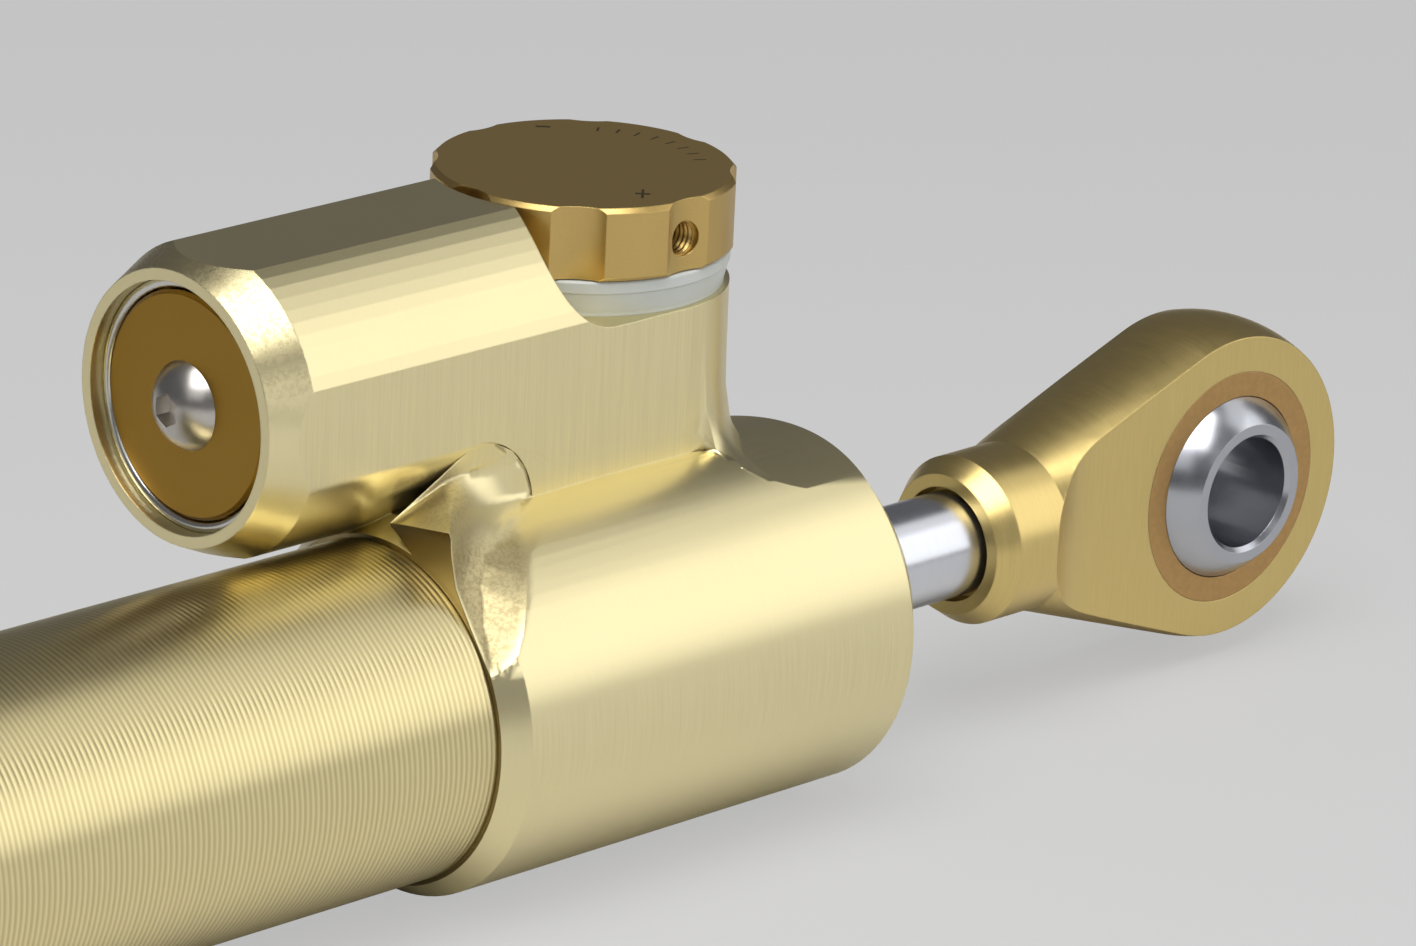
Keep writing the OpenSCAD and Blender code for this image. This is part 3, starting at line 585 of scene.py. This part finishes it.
def blendSolid(name, root, reach, plane, side):
    # The blend's surface closed back to a root point or, with a reach, to its copy grown from that point
    rows = len(blend["edges"])
    cols = blend["columns"]
    width = cols + 1
    start = Vector(root)
    surface = []
    for i, (left, right) in enumerate(blend["edges"]):
        for j in range(width):
            s = j / cols
            sag = math.sin(math.pi * s) * math.sin(math.pi * (i + blend["sagStart"]) / rows)
            surface.append(Vector(left).lerp(Vector(right), s) + Vector(blend["sag"]) * sag)
    tip = len(surface)
    surface.append(Vector(blend["tip"]))
    front = []
    for i in range(rows - 1):
        for a in range(i * width, i * width + cols):
            front.append((a, a + width, a + width + 1))
            front.append((a, a + width + 1, a + 1))
    top = (rows - 1) * width
    front += [(top + j, tip, top + j + 1) for j in range(cols)]
    rim = (list(range(cols)) + [i * width + cols for i in range(rows)] + [tip]
           + [i * width for i in range(rows - 1, 0, -1)])
    pairs = list(zip(rim, rim[1:] + rim[:1]))
    faces = list(front)
    count = len(surface)
    if reach:
        faces += [tuple(k + count for k in face) for face in front]
        for a, b in pairs:
            faces.append((a, b, b + count))
            faces.append((a, b + count, a + count))
        points = surface + [start + (p - start) * reach for p in surface]
    else:
        faces += [(a, b, count) for a, b in pairs]
        points = surface + [start]
    shift = Vector((blend["headX"], 0, 0))
    mesh = bpy.data.meshes.new(name)
    mesh.from_pydata([p + shift for p in points], [], faces)
    bm = bmesh.new()
    bm.from_mesh(mesh)
    bmesh.ops.recalc_face_normals(bm, faces=bm.faces[:])
    bmesh.ops.bisect_plane(bm, geom=bm.verts[:] + bm.edges[:] + bm.faces[:], dist=blend["planeWeld"],
                           plane_co=Vector(plane), plane_no=Vector(side), clear_outer=True)
    bmesh.ops.holes_fill(bm, edges=[e for e in bm.edges if e.is_boundary])
    bmesh.ops.triangulate(bm, faces=bm.faces[:])
    bmesh.ops.recalc_face_normals(bm, faces=bm.faces[:])
    bm.to_mesh(mesh)
    bm.free()
    tool = bpy.data.objects.new(name, mesh)
    bpy.context.scene.collection.objects.link(tool)
    return tool


def applyModifiers(piece):
    made = bpy.data.meshes.new_from_object(piece.evaluated_get(bpy.context.evaluated_depsgraph_get()))
    piece.modifiers.clear()
    piece.data = made


def combine(target, tool, operation):
    # Boolean of a tool object into target, whose mesh is replaced; the tool is deleted
    modifier = target.modifiers.new("combine", "BOOLEAN")
    modifier.operation = operation
    modifier.solver = "EXACT"
    modifier.use_self = True
    modifier.object = tool
    applyModifiers(target)
    bpy.data.objects.remove(tool)


def softenFoot(bm):
    # Rounds the crest of the tower's foot; points on the side flats or on faces along the barrel stay
    crest = [v for v in bm.verts if inBox(v.co, blend["footBox"])
             and all(abs(face.normal.y) < blend["footSide"] and abs(face.normal.x) > blend["footAlong"]
                     for face in v.link_faces)]
    for again in range(blend["footTurns"]):
        bmesh.ops.smooth_vert(bm, verts=crest, factor=0.5,
                              use_axis_x=True, use_axis_y=True, use_axis_z=True)


def markSharp(bm):
    # Smooth shading, with an edge kept sharp where it turns by its region's angle or more
    middleY, middleZ, reach = blend["shoulder"]
    for face in bm.faces:
        face.smooth = True
    for edge in bm.edges:
        if len(edge.link_faces) != 2:
            continue
        middle = (edge.verts[0].co + edge.verts[1].co) / 2 / mm
        outside = math.hypot(middle.y - middleY, middle.z - middleZ) > reach and middle.z > middleZ
        along = all(abs(face.normal.x) < blend["facetAlong"] for face in edge.link_faces)
        if inBox(middle, blend["blendBox"]) or inBox(middle, blend["footBox"]):
            limit = blend["blendAngle"]
        elif middle.x < blend["mouthEnd"]:
            limit = blend["mouthAngle"]
        elif outside and along:
            limit = blend["facetAngle"]
        else:
            limit = blend["sharpAngle"]
        edge.smooth = math.degrees(edge.calc_face_angle(0)) < limit


def makeBlend():
    # The head with its left end blended from the tube's seat up to the reservoir
    mesh = nodes["head_block"].data.copy()
    bm = bmesh.new()
    bm.from_mesh(mesh)
    # The booleans work in millimetres, as they are unsound on very small meshes
    bmesh.ops.scale(bm, vec=Vector((1, 1, 1)) / mm, verts=bm.verts)
    bmesh.ops.remove_doubles(bm, verts=bm.verts, dist=blend["sourceWeld"])
    bm.to_mesh(mesh)
    bm.free()
    piece = bpy.data.objects.new("head_blended", mesh)
    bpy.context.scene.collection.objects.link(piece)
    wall = (0, blend["wallY"], 0)
    combine(piece, blendSolid("cutter", blend["cutRoot"], blend["cutGrow"], wall, (0, 1, 0)), "DIFFERENCE")
    endPlane = (blend["headX"], 0, 0)
    combine(piece, blendSolid("filler", blend["fillRoot"], 0, endPlane, (-1, 0, 0)), "UNION")
    mesh = piece.data
    # Clears the normals that came with the head's mesh
    mesh.normals_split_custom_set([(0, 0, 0)] * len(mesh.loops))
    bm = bmesh.new()
    bm.from_mesh(mesh)
    bmesh.ops.remove_doubles(bm, verts=bm.verts, dist=blend["weld"])
    bmesh.ops.holes_fill(bm, edges=[e for e in bm.edges if e.is_boundary])
    softenFoot(bm)
    bmesh.ops.scale(bm, vec=Vector((1, 1, 1)) * mm, verts=bm.verts)
    markSharp(bm)
    bm.to_mesh(mesh)
    bm.free()
    weighted = piece.modifiers.new("weighted", "WEIGHTED_NORMAL")
    weighted.keep_sharp = True
    applyModifiers(piece)
    piece.data.materials.clear()
    piece.data.materials.append(headGold)
    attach(piece, "housing")
    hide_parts("head_block")


makeBlend()
print("stage: blend")

# In mm, start and end from the knob's axis
thread = {
    "start": 7.3,
    "end": 11.75,
    "pitch": 0.5,
    "radius": 1.52,
    "depth": 0.2,
    "outer": 1.6,
    "around": 32,
    "perPitch": 8,
}


def makeThread():
    # The thread in the knob's radial hole, from the grub screw out to the knob's valley
    low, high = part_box("knob_grub_screw")
    middleX = (low[0] + high[0]) / 2 / mm
    middleZ = (low[2] + high[2]) / 2 / mm
    centreY = knob["centre"][1] / mm
    start, end, around = thread["start"], thread["end"], thread["around"]
    steps = int((end - start) / thread["pitch"] * thread["perPitch"])

    def point(along, radius, k):
        angle = 2 * math.pi * k / around
        return (middleX + radius * math.cos(angle), centreY - along, middleZ + radius * math.sin(angle))

    verts = []
    for i in range(steps + 1):
        along = start + (end - start) * i / steps
        for k in range(around):
            part = (along / thread["pitch"] + k / around) % 1.0
            verts.append(point(along, thread["radius"] - thread["depth"] * (1 - abs(2 * part - 1)), k))
    sleeve = len(verts)
    verts += [point(along, thread["outer"], k) for along in (start, end) for k in range(around)]
    # The rings that are joined: along the thread, at its two ends, and along the sleeve behind it
    rings = [(i * around, (i + 1) * around) for i in range(steps)]
    rings += [(0, sleeve), (steps * around, sleeve + around), (sleeve, sleeve + around)]
    faces = []
    for k in range(around):
        after = (k + 1) % around
        faces += [(a + k, a + after, b + after, b + k) for a, b in rings]
    meshPiece("knob_thread", verts, faces, deepGold, "knob", smooth=False)


makeThread()
print("stage: thread")

# Angles in degrees, the place and the lens in mm, the clip in metres
camera = {
    "azimuth": 44.97752,
    "elevation": 19.19644,
    "roll": 2.72067,
    "lens": 210.577,
    "sensor": 36,
    "clip": (0.01, 20),
    "place": (-371.345, -459.964, 239.010),
}


def makeCamera():
    a = math.radians(camera["azimuth"])
    e = math.radians(camera["elevation"])
    r = math.radians(camera["roll"])
    back = Vector((-math.sin(a) * math.cos(e), -math.cos(a) * math.cos(e), math.sin(e)))
    levelRight = Vector((0, 0, 1)).cross(back).normalized()
    levelUp = back.cross(levelRight)
    right = math.cos(r) * levelRight + math.sin(r) * levelUp
    up = -math.sin(r) * levelRight + math.cos(r) * levelUp
    data = bpy.data.cameras.new("camera")
    data.lens = camera["lens"]
    data.sensor_width = camera["sensor"]
    data.sensor_fit = "HORIZONTAL"
    data.clip_start, data.clip_end = camera["clip"]
    made = bpy.data.objects.new("camera", data)
    bpy.context.scene.collection.objects.link(made)
    turn = Matrix((right, up, back)).transposed().to_4x4()
    made.matrix_world = Matrix.Translation(Vector(camera["place"]) * mm) @ turn
    bpy.context.scene.camera = made


makeCamera()

# The floor in mm; tones are linear light, and fade is where the near tone turns to the far one, in metres
studio = {
    "floorZ": -16.05,
    "floorHalf": 3000,
    "fade": (-0.35, 0.5),
    "nearPaper": (0.72, 0.72, 0.72, 1),
    "farPaper": (0.5, 0.5, 0.5, 1),
    "nearTone": (0.675, 0.675, 0.675, 1.0),
    "farTone": (0.58, 0.58, 0.58, 1.0),
    "ownTone": 0.75,
    "rough": 0.9,
    "specular": 0.05,
    "world": (0.115, 0.115, 0.12, 1.0),
}

# Each light: its place and aim in mm, its width and height in mm, and its power in watts
lights = {
    "keyRight": ((850, -640, 430), (60, 0, 10), (1000, 760), 3.2),
    "topRight": ((730, -260, 850), (60, 0, 10), (760, 420), 0.9),
    "front": ((170, -950, 330), (60, 0, 10), (700, 520), 1.3),
    "frontLeft": ((-760, -420, 700), (60, 0, 10), (700, 600), 0.9),
    "overhead": ((-260, -240, 1150), (50, 0, 0), (1000, 1000), 14),
}


def makeFloor():
    half = studio["floorHalf"]
    z = studio["floorZ"]
    mesh = bpy.data.meshes.new("floor")
    corners = [(-half, -half, z), (half, -half, z), (half, half, z), (-half, half, z)]
    mesh.from_pydata([Vector(c) * mm for c in corners], [], [(0, 1, 2, 3)])
    floor = bpy.data.objects.new("floor", mesh)
    bpy.context.scene.collection.objects.link(floor)
    material, graph, shader, place = newMaterial("paper")
    depth = (place.part("X") + place.part("Y")).between(*studio["fade"])
    paper = mixColour(graph, depth, studio["nearPaper"], studio["farPaper"])
    backdrop = mixColour(graph, depth, studio["nearTone"], studio["farTone"])
    # What the camera sees is mostly the backdrop's own tone, so the shadows stay soft
    seen = graph.node("ShaderNodeLightPath", out=0) * studio["ownTone"]
    black = (0.0, 0.0, 0.0, 1.0)
    graph.feed(shader.inputs["Base Color"], mixColour(graph, seen, paper, black))
    graph.feed(shader.inputs["Emission Color"], mixColour(graph, seen, black, backdrop))
    graph.feed(shader.inputs["Emission Strength"], 1.0)
    graph.feed(shader.inputs["Roughness"], studio["rough"])
    graph.feed(shader.inputs["Specular IOR Level"], studio["specular"])
    mesh.materials.append(material)


def softbox(name, place, aim, size, power):
    data = bpy.data.lights.new(name, "AREA")
    data.shape = "RECTANGLE"
    data.size = size[0] * mm
    data.size_y = size[1] * mm
    data.energy = power
    light = bpy.data.objects.new(name, data)
    bpy.context.scene.collection.objects.link(light)
    way = Vector(aim) - Vector(place)
    light.matrix_world = (Matrix.Translation(Vector(place) * mm)
                          @ way.to_track_quat("-Z", "Y").to_matrix().to_4x4())


makeFloor()
for lightName, setup in lights.items():
    softbox(lightName, *setup)
world = bpy.data.worlds.new("world")
world.use_nodes = True
world.node_tree.nodes["Background"].inputs[0].default_value = studio["world"]
bpy.context.scene.world = world
bpy.context.scene.view_settings.view_transform = "Standard"
print("stage: studio")
